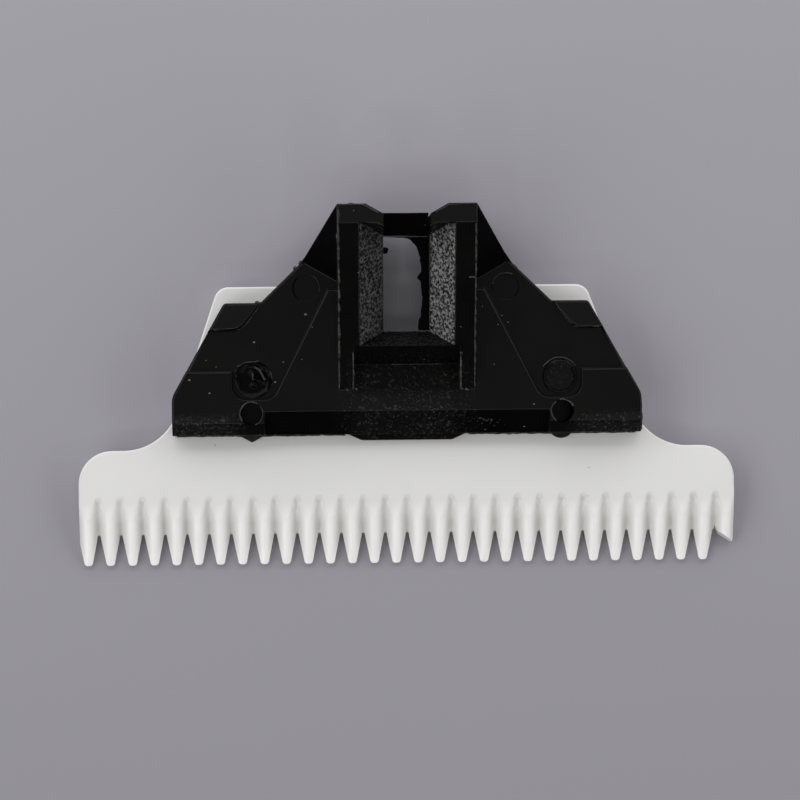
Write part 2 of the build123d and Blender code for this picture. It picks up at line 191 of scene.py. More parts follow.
# Torn gate, in millimetres: its mesh, the lie and bend of the tear, its lumps and flecks, its rim
GATE_RINGS, GATE_SPOKES = 16, 56
TEAR_COSINE, TEAR_SINE = 0.73, 0.68
TEAR_BEND, TEAR_BENDS = 0.16, 1.7
TEAR_FLOOR = 0.06
TEAR_LUMP, TEAR_LUMPS, TEAR_LUMP_SEED = 0.05, 2.3, 4.0
TEAR_FLECK, TEAR_FLECKS, TEAR_FLECK_SEED = 0.02, 6, 1.0
GATE_RIM, GATE_RIM_SHIFT = 1.04, 0.08
GATE_RIM_WANDER, GATE_RIM_WAVES, GATE_RIM_SEED = 0.12, 2, 9.0
GATE_RIM_HEIGHT, GATE_RIM_POWER = 0.30, 6
GATE_SINK = 0.05

# Ridges of the tear, in millimetres: height, place and width along it, place and length across it
TEAR_RIDGES = (
    (0.26, 0.30, 0.10, 0.0, 0.5), (0.22, 0.88, 0.10, -0.1, 0.45), (0.16, -0.35, 0.12, -0.3, 0.2),
)

# Burrs: sides of their rings, and how the noise swells them
BURR_SIDES = 8
SWELL_FROM, SWELL = 0.12, 2.4

# Nibs of flash on the follower's edges, in millimetres: place and radii
EDGE_NIBS = (
    (15.85, 0.45, 2.9, 0.13, 0.34, 0.45), (15.83, -0.05, 2.5, 0.12, 0.22, 0.35),
    (7.03, -0.62, 1.95, 0.36, 0.12, 0.20), (7.45, -0.64, 1.85, 0.22, 0.09, 0.16),
    (-10.02, 8.30, 3.35, 0.22, 0.14, 0.12), (-7.45, 10.62, 3.1, 0.16, 0.16, 0.16),
    (-7.10, 10.95, 3.0, 0.12, 0.2, 0.2), (7.35, 10.60, 3.1, 0.18, 0.18, 0.18),
    (6.85, 11.05, 3.1, 0.14, 0.2, 0.2), (-3.72, 14.60, 8.12, 0.3, 0.12, 0.10),
    (-4.60, 12.47, 7.6, 0.12, 0.35, 0.12), (-4.08, 2.40, 3.72, 0.12, 0.10, 0.08),
    (-3.40, 2.42, 3.74, 0.10, 0.08, 0.08), (3.66, 2.40, 3.74, 0.12, 0.09, 0.08),
    (4.02, 2.34, 3.73, 0.13, 0.10, 0.08), (4.3, 9.8, 6.75, 0.2, 0.06, 0.06),
    (4.98, 0.40, 3.33, 0.13, 0.08, 0.12), (5.16, 0.31, 3.27, 0.07, 0.09, 0.10),
    (5.33, 0.25, 3.22, 0.14, 0.08, 0.12), (5.50, 0.34, 3.29, 0.05, 0.06, 0.08),
    (5.68, 0.28, 3.26, 0.08, 0.12, 0.10), (5.62, 0.05, 3.08, 0.05, 0.06, 0.08),
    (6.12, 0.11, 3.12, 0.10, 0.05, 0.08), (6.28, 0.26, 3.23, 0.04, 0.04, 0.06),
    (5.05, 0.05, 3.08, 0.05, 0.06, 0.07), (5.90, -0.12, 2.97, 0.07, 0.04, 0.07),
    (4.75, 0.20, 3.20, 0.04, 0.05, 0.06), (6.60, -0.05, 3.00, 0.03, 0.05, 0.06),
)

# Lumps of every kind: waves of their unevenness, and how uneven they are
LUMP_WAVES = 1.6
LUMP_ROUGHNESS, NIB_ROUGHNESS = 0.35, 0.5
NIB_SEED_STEP = 1.7

# Dust: colours, the faces that catch it, and the least and most of a grain's three sizes
DUST_DARK, DUST_PALE = (0.06, 0.06, 0.058), (0.16, 0.16, 0.155)
DUST_RISE = 0.3
DUST_FOOT = 2 * MM
DUST_LEAST, DUST_MOST = (0.5, 0.4, 0.25), (1.3, 0.9, 0.5)

# Pale specks on the follower, in millimetres: place along and across the teeth, and radius
PALE_SPECKS = (
    (-6.78, 7.5, 0.1), (-6.35, 6.65, 0.05), (-10.27, 5.65, 0.08), (-14.65, 3.15, 0.08),
    (-13.3, 2.25, 0.07), (-12.85, 4.01, 0.04), (-8.3, 4.3, 0.05), (-8.88, 2.96, 0.07),
    (8.55, 1.3, 0.06), (6.19, 6.7, 0.05), (6.86, 6.85, 0.05), (6.46, 7.3, 0.05),
    (5.89, 4.02, 0.04), (7.93, -0.2, 0.06),
)
SPECK_SHAPE = (1.0, 0.8, 0.6)
CRUMB_PLACE = (-11.36, -0.6, 1.75)
CRUMB_RADII = (0.17, 0.14, 0.12)

# Table: half its side in metres, its sink under the blade, and the span of its painted falloff of
# light in millimetres
TABLE_REACH = 3.0
TABLE_SINK = 0.02 * MM
TABLE_FALLOFF = (-40, 40)
TABLE_WANDER = 8

# Soft boxes: name, setting of their power, share of that power, place and size in metres
SOFT_BOXES = (
    ("left_box", "left_power", 1.0, (-0.40, -0.03, 0.33), (0.90, 0.34)),
    ("right_box", "right_power", 1.0, (0.46, -0.03, 0.24), (0.90, 0.30)),
    ("back_box", "back_power", 1.0, (0.0, 0.45, 0.28), (1.30, 0.50)),
    ("top_box", "top_power", 1.0, (0.0, 0.06, 0.80), (0.40, 0.40)),
    ("front_left_box", "front_power", 1.0, (-0.13, -0.35, 0.41), (0.05, 0.05)),
    ("front_right_box", "front_power", 0.85, (0.15, -0.35, 0.41), (0.05, 0.05)),
    ("high_front_box", "high_power", 1.0, (0.0, -0.24, 0.64), (0.50, 0.12)),
)

# Camera: width of its sensor in millimetres, and the nearest thing it sees in metres
SENSOR_WIDTH = 36.0
NEAREST = 0.005


class BladeFinishes(PropertyGroup):
    """Colours of the blade's finishes."""

    ceramic: FloatVectorProperty(
        name="Ceramic", description="Ground white zirconia",
        subtype="COLOR", size=3, min=0, max=1, default=(0.7, 0.695, 0.69))
    plastic: FloatVectorProperty(
        name="Plastic", description="Black moulded acetal",
        subtype="COLOR", size=3, min=0, max=1, default=(0.0024, 0.0022, 0.0021))
    adhesive: FloatVectorProperty(
        name="Adhesive", description="Cured dark adhesive",
        subtype="COLOR", size=3, min=0, max=1, default=(0.007, 0.007, 0.007))
    floor: FloatVectorProperty(
        name="Floor", description="Plain pale grey table",
        subtype="COLOR", size=3, min=0, max=1, default=(0.335, 0.325, 0.36))


class BladeSizes(PropertyGroup):
    """Sizes of the details that the looks add to the solids."""

    follower_edge: FloatProperty(
        name="Follower edge", description="Radius left by the mould on the follower's edges",
        default=0.05 * MM, min=0, unit="LENGTH")
    grain_height: FloatProperty(
        name="Grain height", description="Depth of the spark-eroded grain in the funnel",
        default=0.035 * MM, min=0, unit="LENGTH")
    grain_pitch: FloatProperty(
        name="Grain pitch", description="Distance between two bumps of that grain",
        default=0.3 * MM, min=0.05 * MM, unit="LENGTH")
    grain_edge: FloatProperty(
        name="Grain mesh", description="Longest edge of the mesh that carries the grain",
        default=0.09 * MM, min=0.04 * MM, unit="LENGTH")
    flash_thickness: FloatProperty(
        name="Flash thickness", description="Thickness of the flash left in the drive slot",
        default=0.22 * MM, min=0.02 * MM, unit="LENGTH")
    burr_spacing: FloatProperty(
        name="Burr spacing", description="Distance between two rings of a burr's mesh",
        default=0.06 * MM, min=0.02 * MM, unit="LENGTH")
    burr_pitch: FloatProperty(
        name="Burr pitch", description="Distance between two lumps of a burr",
        default=0.55 * MM, min=0.05 * MM, unit="LENGTH")
    burr_wander: FloatProperty(
        name="Burr wander", description="How far a burr strays from its line",
        default=0.12 * MM, min=0, unit="LENGTH")
    dust_size: FloatProperty(
        name="Dust size", description="Size of the dust grains on the follower",
        default=0.05 * MM, min=0.01 * MM, unit="LENGTH")
    dust_density: FloatProperty(
        name="Dust density", description="Dust grains on each square metre of the follower",
        default=3.0e4, min=0)
    dust_seed: IntProperty(
        name="Dust seed", description="Seed of the dust's places", default=7, min=0)


class BladeStage(PropertyGroup):
    """Camera and light of the photograph's view."""

    camera_height: FloatProperty(
        name="Camera height", description="Camera above the table",
        default=230 * MM, unit="LENGTH")
    camera_x: FloatProperty(
        name="Camera X", description="Camera place along the teeth",
        default=-6.4 * MM, unit="LENGTH")
    aim_x: FloatProperty(
        name="Aim X", description="Place along the teeth at which the camera looks",
        default=-0.43 * MM, unit="LENGTH")
    camera_y: FloatProperty(
        name="Camera Y", description="Camera place across the teeth",
        default=1.73 * MM, unit="LENGTH")
    camera_roll: FloatProperty(
        name="Camera roll", description="Turn of the camera about its line of sight",
        default=math.radians(-0.58), unit="ROTATION")
    camera_lens: FloatProperty(
        name="Lens", description="Focal length on a 36 mm sensor",
        default=151.2, min=20, unit="CAMERA")
    left_power: FloatProperty(
        name="Left box", description="Power of the soft box at the left",
        default=2.04, min=0, unit="POWER")
    right_power: FloatProperty(
        name="Right box", description="Power of the soft box at the right",
        default=1.52, min=0, unit="POWER")
    back_power: FloatProperty(
        name="Back box", description="Power of the soft box behind the yoke",
        default=4.15, min=0, unit="POWER")
    top_power: FloatProperty(
        name="Top box", description="Power of the dim soft box above the camera",
        default=0.09, min=0, unit="POWER")
    front_power: FloatProperty(
        name="Front boxes", description="Power of the small boxes at the front corners",
        default=0.14, min=0, unit="POWER")
    high_power: FloatProperty(
        name="High front box", description="Power of the wide box high in front of the teeth",
        default=0.38, min=0, unit="POWER")
    room_light: FloatProperty(
        name="Room light", description="Strength of the plain light all round",
        default=0.01, min=0)


def arc(centre, radius, start, end, steps=24):
    """Points round a part of a circle, in degrees from the row's right-hand end."""
    turns = [math.radians(start + (end - start) * step / steps) for step in range(steps + 1)]
    return tuple((centre[0] + radius * math.cos(turn), centre[1] + radius * math.sin(turn))
                 for turn in turns)


# Burrs on the follower, in millimetres: line, height (none lies on the follower) and thickness
BURRS = (
    (((-4.55, 2.5), (-4.57, 6.0), (-4.55, 9.5), (-4.57, 13.3), (-4.55, 14.3)), None, 0.085),
    (((4.57, 2.6), (4.55, 6.0), (4.57, 9.5), (4.55, 13.3)), None, 0.065),
    (((-3.62, 2.45), (-3.6, 3.4), (-3.62, 4.9)), None, 0.075),
    (((3.62, 2.45), (3.6, 3.4), (3.62, 4.9)), None, 0.085),
    (((-1.6, 6.5), (-1.6, 9.0), (-1.6, 12.3)), None, 0.03),
    (((1.6, 6.9), (1.6, 9.5), (1.6, 12.4)), None, 0.06),
    (((-4.5, 14.6), (-3.6, 14.6), (-2.8, 14.55), (-1.9, 14.05)), None, 0.07),
    (((4.5, 14.6), (3.6, 14.6), (2.8, 14.55), (1.9, 14.05)), None, 0.06),
    (((-1.05, 4.07), (0.4, 4.06), (2.31, 4.08)), None, 0.045),
    (((-15.6, -0.66), (-12.5, -0.66), (-9.0, -0.67), (-4.2, -0.66)), 1.72, 0.05),
    (((4.2, -0.66), (9.0, -0.66), (12.5, -0.67), (15.6, -0.66)), 1.72, 0.05),
    (arc(SPRING_HOLE_LEFT, SPRING_HOLE_RIM, 60, 215), None, 0.055),
    (arc(SPRING_HOLE_LEFT, SPRING_HOLE_RIM, -70, 40), None, 0.04),
    (arc(SPRING_HOLE_RIGHT, SPRING_HOLE_RIM, 25, 105), None, 0.095),
    (arc(SPRING_HOLE_RIGHT, SPRING_HOLE_RIM, 125, 235), None, 0.05),
    (((-13.0, 6.52), (-11.3, 6.52), (-10.9, 6.75), (-10.55, 7.2), (-9.85, 8.2)), None, 0.04),
    (((13.0, 6.52), (11.5, 6.52), (11.0, 6.85), (10.6, 7.4), (10.1, 8.1)), None, 0.035),
    (((15.8, -0.5), (15.85, 0.5), (15.8, 1.7)), 3.0, 0.07),
    (arc(RING_PLACE, RING_OUTER, 35, 150), None, 0.05),
    (arc(RING_PLACE, RING_INNER, 200, 330), None, 0.03),
    (arc(PAD_LEFT, PAD_RIM, -15, 75), None, 0.04),
    (arc(PAD_RIGHT, PAD_RIM, 60, 170), None, 0.045),
    (((-11.59, 3.8), (-11.5, 3.2), (-11.15, 2.5)), None, 0.08),
    (((-11.45, 4.0), (-10.9, 4.3), (-9.94, 4.38)), None, 0.05),
    (((-10.31, 4.0), (-9.9, 3.75), (-9.57, 3.1)), 3.28, 0.09),
    (((-10.42, 3.6), (-10.38, 3.1)), 3.25, 0.06),
    (((-9.2, 3.7), (-9.05, 3.1), (-9.1, 2.7)), 3.3, 0.05),
)


class Wire:
    """One shader value that takes part in Python sums."""

    def __init__(self, finish, socket):
        self.finish = finish
        self.socket = socket

    def math(self, operation, first, second):
        return self.finish.node("ShaderNodeMath", {"operation": operation}, {0: first, 1: second})

    def __add__(self, other):
        return self.math("ADD", self, other)

    def __radd__(self, other):
        return self.math("ADD", other, self)

    def __sub__(self, other):
        return self.math("SUBTRACT", self, other)

    def __rsub__(self, other):
        return self.math("SUBTRACT", other, self)

    def __mul__(self, other):
        return self.math("MULTIPLY", self, other)

    def __rmul__(self, other):
        return self.math("MULTIPLY", other, self)


class Finish:
    """A material in the making: any node comes from one method."""

    def __init__(self, name):
        self.material = bpy.data.materials.new(name)
        self.material.use_nodes = True
        self.tree = self.material.node_tree
        self.shader = self.tree.nodes["Principled BSDF"]
        self.place = self.node("ShaderNodeTexCoord", output="Object")

    def node(self, kind, settings=None, sockets=None, output=0):
        made = self.tree.nodes.new(kind)
        for key, value in (settings or {}).items():
            setattr(made, key, value)
        for key, value in (sockets or {}).items():
            self.feed(made.inputs[key], value)
        return Wire(self, made.outputs[output])

    def feed(self, socket, value):
        if isinstance(value, Wire):
            self.tree.links.new(value.socket, socket)
        else:
            socket.default_value = value

    def set(self, **values):
        for key, value in values.items():
            self.feed(self.shader.inputs[key.replace("_", " ")], value)

    def cloud(self, pitch, detail=2.0, roughness=0.5, offset=(0, 0, 0), stretch=(1, 1, 1)):
        """Soft noise with about one wave in each pitch."""
        moved = self.node("ShaderNodeMapping", {},
                          {"Vector": self.place, "Location": offset, "Scale": stretch})
        return self.node("ShaderNodeTexNoise", {}, {
            "Vector": moved, "Scale": 1 / pitch, "Detail": detail, "Roughness": roughness})

    def ramp(self, value, low, high):
        """A mask that climbs from nothing at one level to all at the other."""
        return self.node("ShaderNodeMapRange", {"clamp": True},
                         {"Value": value, "From Min": low, "From Max": high})

    def fade(self, value, ends):
        """The same between two places in millimetres."""
        return self.ramp(value, ends[0] * MM, ends[1] * MM)

    def reach(self, point):
        """Distance from a point."""
        return self.node("ShaderNodeVectorMath", {"operation": "DISTANCE"},
                         {0: self.place, 1: point}, output="Value")

    def mark(self, name):
        """A value that the mesh carries."""
        return self.node("ShaderNodeAttribute", {"attribute_name": name}, output="Fac")

    def split(self):
        """Places along the teeth, across them and up."""
        node = self.node("ShaderNodeSeparateXYZ", {}, {"Vector": self.place}).socket.node
        return [Wire(self, node.outputs[axis]) for axis in "XYZ"]

    def tint(self, mask, under, over):
        """One colour laid over another where the mask says."""
        return self.node("ShaderNodeMix", {"data_type": "RGBA"},
                         {"Factor": mask, 6: under, 7: over}, output=2)

    def mottle(self, mask, colour, dark, pale):
        """A colour that goes from one shade of itself to another with the mask."""
        return self.tint(mask, scaled(colour, dark), scaled(colour, pale))

    def bump(self, height, distance, strength):
        return self.node("ShaderNodeBump", {}, {
            "Height": height, "Distance": distance, "Strength": strength})


def opaque(colour):
    return (colour[0], colour[1], colour[2], 1.0)


def scaled(colour, factor):
    return (colour[0] * factor, colour[1] * factor, colour[2] * factor, 1.0)


def in_metres(values):
    return [value * MM for value in values]


def ceramic_finish(colour):
    """Lapped zirconia: nearly even white, faint grinding marks, dark specks, a ground row whitened
    partly as painted light, and painted shade with stain in its hollows.
    """
    finish = Finish("ceramic_lapped")
    clouds = finish.cloud(pitch=6 * MM, detail=3.0)
    fine = finish.cloud(pitch=0.12 * MM, detail=4.0, roughness=0.6)
    marks = finish.cloud(pitch=1.6 * MM, detail=5.0, roughness=0.6, stretch=(1.0, 9.0, 1.0))
    base = finish.mottle(finish.ramp(clouds, low=0.35, high=0.65), colour, dark=0.98, pale=1.01)
    for x, y, radius in CERAMIC_SPECKS:
        away = finish.reach((x * MM, y * MM, PLATE_TOP))
        dot = finish.ramp(away, low=radius * MM, high=SPECK_CORE * radius * MM)
        base = finish.tint(dot * SPECK_STRENGTH, base, scaled(colour, SPECK_SHADE))
    along, across, up = finish.split()
    beside = finish.node("ShaderNodeMath", {"operation": "PINGPONG"},
                         {0: along, 1: TOOTH_PITCH / 2 * MM})
    ground = finish.fade(across, GROUND_ACROSS)
    # Painted shade with a little stain, darkest along the middle of each hollow
    hollow_shade_and_stain = finish.fade(beside, HOLLOW_SHADE_BESIDE) * ground * finish.fade(up, HOLLOW_SHADE_UP)
    # Painted light: the front-tilted ground row is whitened, beside its ground finish
    base = finish.tint(ground, base, opaque(GROUND_WHITE_AND_LIGHT))
    base = finish.tint(hollow_shade_and_stain, base, opaque(HOLLOW_SHADE_AND_STAIN))
    finish.set(Base_Color=base, Roughness=LAPPED_ROUGHNESS + MARK_ROUGHNESS * marks,
               Normal=finish.bump(fine, distance=0.001 * MM, strength=0.3), IOR=1.5)
    return finish.material


def plastic_finish(colour):
    """Black moulded acetal: satin skin, painted sheen with rubbing on the funnel's grain, eroded
    ends and middle.
    """
    finish = Finish("follower_black")
    flow = finish.cloud(pitch=2.4 * MM, detail=3.0)
    fine = finish.cloud(pitch=0.16 * MM, detail=3.0, roughness=0.6)
    base = finish.mottle(finish.ramp(flow, low=0.3, high=0.7), colour, dark=0.8, pale=1.25)

    sheen_and_wear = finish.mark(SHEEN_AND_WEAR_MARK)
    ripples = finish.cloud(pitch=0.2 * MM, roughness=0.6, offset=WORM_OFFSET)
    worms = finish.ramp(ripples, low=0.44, high=0.58)
    pits = finish.node("ShaderNodeTexVoronoi", {"feature": "F1"},
                       {"Vector": finish.place, "Scale": 1 / (0.3 * MM)})
    sheen_and_rubbing = sheen_and_wear * (LEAST_SHEEN_AND_WEAR + (1 - LEAST_SHEEN_AND_WEAR) * worms)
    sheen_and_rubbing = sheen_and_rubbing * finish.ramp(pits, low=0.22, high=0.36)
    # Painted sheen: the funnel's grain is tinted grey where the left lamp would glint, with some
    # rubbing
    base = finish.tint(sheen_and_rubbing, base, opaque(SHEEN_AND_WEAR_GREY))

    along, across = finish.split()[:2]
    away = finish.node("ShaderNodeMath", {"operation": "ABSOLUTE"}, {0: along})
    ends = finish.fade(away, ENDS_ALONG) * finish.fade(across, ENDS_ACROSS)
    middle = finish.fade(away, MIDDLE_ALONG) * finish.fade(across, MIDDLE_ACROSS)
    front = finish.fade(across, MIDDLE_FRONT)
    ring = finish.fade(finish.reach(in_metres((*RING_PLACE, RING_TOP))), RING_REACH)
    eroded = ends + middle * (MIDDLE_EROSION + FRONT_EROSION * front) + RING_EROSION * ring
    sparks = finish.cloud(pitch=0.17 * MM, roughness=0.6, stretch=(1.0, 1.0, 0.3))
    sparked = eroded * finish.ramp(sparks, low=0.57, high=0.7)
    base = finish.tint(sparked, base, opaque(SPARK_GREY))

    recess = finish.fade(away, RECESS_ALONG) * finish.fade(across, RECESS_FRONT)
    recess = recess * finish.fade(across, RECESS_BACK)
    finish.set(Base_Color=base,
               Roughness=(SKIN_ROUGHNESS + STREAK_ROUGHNESS * flow + RUBBED_ROUGHNESS * sheen_and_wear
                          + ERODED_ROUGHNESS * eroded),
               Coat_Weight=POLISH * finish.mark(GLOSS_MARK) * (1 - recess),
               Normal=finish.bump(SKIN_RELIEF * fine + eroded * sparks, distance=0.22 * MM,
                                  strength=0.8),
               IOR=1.46, Specular_IOR_Level=0.07, Coat_Roughness=0.22)
    return finish.material


def flash_finish(colour):
    """Thin flash and torn plastic: the same black, but drawn and shiny."""
    finish = Finish("follower_flash")
    fine = finish.cloud(pitch=0.12 * MM)
    finish.set(Base_Color=finish.mottle(fine, colour, dark=1.0, pale=3.0),
               Roughness=FLASH_ROUGHNESS + FLASH_UNEVEN * fine,
               Normal=finish.bump(fine, distance=0.01 * MM, strength=0.5),
               IOR=1.46, Specular_IOR_Level=0.6)
    return finish.material


def dust_finish():
    """Pale dry dust caught on the black plastic."""
    finish = Finish("dust_pale")
    flow = finish.cloud(pitch=0.05 * MM)
    finish.set(Base_Color=finish.tint(flow, opaque(DUST_DARK), opaque(DUST_PALE)),
               Roughness=DUST_ROUGHNESS + DUST_UNEVEN * flow)
    return finish.material


def adhesive_finish(colour):
    """Cured squeeze-out, dark and a little glossy."""
    finish = Finish("adhesive_cured")
    flow = finish.cloud(pitch=0.3 * MM, detail=3.0)
    shade = finish.mottle(finish.ramp(flow, low=0.35, high=0.65), colour, dark=0.6, pale=1.6)
    finish.set(Base_Color=shade, Roughness=ADHESIVE_ROUGHNESS + ADHESIVE_UNEVEN * flow,
               Normal=finish.bump(flow, distance=0.02 * MM, strength=0.5),
               Specular_IOR_Level=0.25)
    return finish.material


def floor_finish(colour):
    """Plain matt grey table with painted falloff of light, a little darker towards the front."""
    finish = Finish("table_grey")
    clouds = finish.cloud(pitch=60 * MM)
    across = finish.split()[1]
    # Painted falloff of light: brighter towards the back box, darker towards the front
    back = finish.fade(across + TABLE_WANDER * MM * clouds, TABLE_FALLOFF)
    finish.set(Base_Color=finish.mottle(back, colour, dark=0.74, pale=0.97), Roughness=0.9)
    return finish.material


def joined_node(node):
    """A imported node's triangles merged into one closed mesh whose flat faces are whole."""
    joined = bmesh.new()
    joined.from_mesh(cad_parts[node].data)
    bmesh.ops.remove_doubles(joined, verts=joined.verts, dist=MERGE_DISTANCE)
    bmesh.ops.dissolve_limit(joined, angle_limit=FLAT_ANGLE, verts=joined.verts,
                             edges=joined.edges)
    return joined


def cut_run_outs(shape):
    """Divides the zone where the ground scallops run out onto the plate's flat top."""
    steps = round((RUN_OUT_BACK - RUN_OUT_FRONT) / RUN_OUT_STEP)
    for step in range(steps + 1):
        place = Vector((0, (RUN_OUT_FRONT + step * RUN_OUT_STEP) * MM, 0))
        bmesh.ops.bisect_plane(shape, geom=shape.verts[:] + shape.edges[:] + shape.faces[:],
                               dist=MERGE_DISTANCE, plane_co=place, plane_no=(0, 1, 0))


def scallop_normal(x):
    """Where the ground row looks at one place along it: round crests, round hollows between."""
    beside = (x / (TOOTH_PITCH * MM) % 1.0 - 0.5) * TOOTH_PITCH
    from_hollow = TOOTH_PITCH / 2 - abs(beside)
    if abs(beside) < CREST_HALF:
        sine = beside / CREST_RADIUS
    else:
        sine = math.copysign(from_hollow / HOLLOW_RADIUS, beside)
    cosine = math.sqrt(1 - sine ** 2)
    return Vector((sine, -cosine * math.sin(BEVEL_TILT), cosine * math.cos(BEVEL_TILT)))


def grind_shading(mesh):
    """Shades the tooth row as it was ground, softly rounded where it meets the flat top."""
    normals = [corner.vector.copy() for corner in mesh.corner_normals]
    up = Vector((0, 0, 1))
    for face in mesh.polygons:
        likeness = face.normal.dot(scallop_normal(face.center.x))
        ground = face.normal.z < LEVEL_RISE and likeness > GROUND_LIKENESS
        if ground and face.center.y < RUN_OUT_BACK * MM:
            for corner in face.loop_indices:
                place = mesh.vertices[mesh.loops[corner].vertex_index].co
                sunk = min(1.0, max(0.0, (PLATE_TOP - place.z) / (ROUND_DEPTH * MM)))
                blend = sunk * sunk * (3 - 2 * sunk)
                normals[corner] = up.lerp(scallop_normal(place.x), blend).normalized()
    mesh.normals_split_custom_set(normals)


def break_edges(joined, width):
    """Rounds every sharp edge of a merged solid, and lays stray corners back on the solid."""
    solid = BVHTree.FromBMesh(joined)
    sharp = [edge for edge in joined.edges if edge.calc_face_angle(0.0) > SHARP_ANGLE]
    bmesh.ops.bevel(joined, geom=sharp, offset=width, offset_type="OFFSET", segments=2,
                    profile=0.5, affect="EDGES", clamp_overlap=False)
    for corner in joined.verts:
        place, _, _, distance = solid.find_nearest(corner.co)
        if distance > width:
            corner.co = place


def funnel_sheen_and_wear(face):
    """How much painted sheen and rubbed grey a face of the funnel gets, told by where it lies and
    looks.
    """
    middle = face.calc_center_median() / MM
    inside = FUNNEL_ACROSS[0] <= middle.y <= FUNNEL_ACROSS[1] and middle.z >= FUNNEL_FOOT
    if abs(middle.x) > FUNNEL_HALF or not inside:
        return 0.0
    # The face that looks towards the left lamp gets the most painted sheen
    if abs(face.normal.x) > SIDE_LEAN and face.normal.z > SIDE_RISE:
        return RIGHT_SHEEN_AND_WEAR if face.normal.x < 0 else LEFT_SHEEN_AND_WEAR
    return FRONT_SHEEN_AND_WEAR if face.normal.y > FRONT_LEAN and face.normal.z > FRONT_RISE else 0.0


def between(value, ends):
    return ends[0] < value < ends[1]


def mould_polish(face):
    """How far the mould polished a face: level skin and narrow edges, but not the recess."""
    middle = face.calc_center_median() / MM
    aside = abs(middle.x)
    if aside < RECESS_HALF and middle.y < RECESS_END and middle.z < RECESS_TOP:
        return 0.0
    if face.normal.z > POLISH_RISE:
        raised = middle.z > YOKE_TOP or between(middle.z, LEDGE_HEIGHTS)
        return RAISED_POLISH if raised else LEVEL_POLISH
    if face.calc_area() < STEP_AREA and face.normal.z > STEP_RISE:
        beside_gate = between(aside, GATE_STEP_ALONG) and between(middle.y, GATE_STEP_ACROSS)
        return GATE_STEP_POLISH if beside_gate else STEP_POLISH
    return 0.0


def mark_faces(shape, name, value_of):
    """Gives each face of a mesh a value, and returns the layer that holds it."""
    mark = shape.faces.layers.float.new(name)
    for face in shape.faces:
        face[mark] = value_of(face)
    return mark


def raise_grain(shape, sizes):
    """Divides the funnel's marked faces finely and raises the spark-eroded grain on them."""
    mark = mark_faces(shape, SHEEN_AND_WEAR_MARK, funnel_sheen_and_wear)
    for _ in range(GRAIN_TURNS):
        wide = [face for face in shape.faces if face[mark] and len(face.verts) > 3]
        bmesh.ops.triangulate(shape, faces=wide)
        long_edges = [edge for edge in shape.edges if edge.calc_length() > sizes.grain_edge
                      and any(face[mark] for face in edge.link_faces)]
        if not long_edges:
            break
        bmesh.ops.subdivide_edges(shape, edges=long_edges, cuts=1)
    shape.normal_update()
    inner = [corner for corner in shape.verts if all(face[mark] for face in corner.link_faces)]
    lifts = [(corner, corner.normal.copy(), grain_lift(corner.co, sizes)) for corner in inner]
    for corner, normal, lift in lifts:
        corner.co += normal * lift


def grain_lift(place, sizes):
    """Height of the spark-eroded grain at one place: rounded bumps with a few deep pits."""
    spot = place / sizes.grain_pitch
    bumps = noise.noise(spot * BUMP_WAVES)
    bumps += FINE_WEIGHT * noise.noise(spot * FINE_WAVES + FINE_OFFSET)
    pit = max(0.0, PIT_RADIUS - noise.voronoi(spot * PIT_WAVES)[0][0])
    return sizes.grain_height * (bumps - PIT_WEIGHT * pit)


def add_lump(shape, centre, radii, seed, roughness=LUMP_ROUGHNESS):
    """Adds one small uneven lump to a mesh, with its place and radii in metres."""
    made = bmesh.ops.create_icosphere(shape, subdivisions=2, radius=1.0)
    offset = Vector((seed, 2.0 * seed, 3.0 * seed))
    for corner in made["verts"]:
        lift = 1.0 + roughness * noise.noise(corner.co * LUMP_WAVES + offset)
        swollen = Vector(co * lift * radius for co, radius in zip(corner.co, radii))
        corner.co = Vector(centre) + swollen


def plain_mesh(piece):
    """Replaces a piece's mesh by what its modifiers make of it."""
    graph = bpy.context.evaluated_depsgraph_get()
    mesh = bpy.data.meshes.new_from_object(piece.evaluated_get(graph))
    piece.modifiers.clear()
    piece.data = mesh
    mesh.name = piece.name


def new_piece(name, shape, material, smooth_angle=SMOOTH_ANGLE):
    """Turns a finished mesh into a piece that rides on the blade."""
    mesh = bpy.data.meshes.new(name)
    bmesh.ops.recalc_face_normals(shape, faces=shape.faces)
    shape.to_mesh(mesh)
    shape.free()
    if "custom_normal" in mesh.attributes:
        mesh.attributes.remove(mesh.attributes["custom_normal"])
    mesh.materials.clear()
    mesh.materials.append(material)
    mesh.polygons.foreach_set("material_index", [0] * len(mesh.polygons))
    mesh.shade_smooth()
    mesh.set_sharp_from_angle(angle=smooth_angle)
    piece = bpy.data.objects.new(name, mesh)
    bpy.context.scene.collection.objects.link(piece)
    even = piece.modifiers.new("even_shading", "WEIGHTED_NORMAL")
    even.keep_sharp = True
    plain_mesh(piece)
    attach(piece, BODY)
    return piece


def new_tree(name, inputs, output):
    """An empty Geometry Nodes tree with named inputs and one result."""
    tree = bpy.data.node_groups.new(name, "GeometryNodeTree")
    for label, kind in inputs:
        tree.interface.new_socket(label, in_out="INPUT", socket_type="NodeSocket" + kind)
    tree.interface.new_socket(output, in_out="OUTPUT", socket_type="NodeSocketGeometry")
    return tree


def grown_piece(name, mesh, tree, values):
    """A piece with the plain mesh that a Geometry Nodes tree makes of another mesh."""
    piece = bpy.data.objects.new(name, mesh)
    bpy.context.scene.collection.objects.link(piece)
    modifier = piece.modifiers.new(tree.name, "NODES")
    modifier.node_group = tree
    for item in tree.interface.items_tree:
        if item.in_out == "INPUT" and item.name in values:
            modifier[item.identifier] = values[item.name]
    plain_mesh(piece)
    if not piece.data.polygons:
        raise RuntimeError("nothing came of " + name)
    return piece


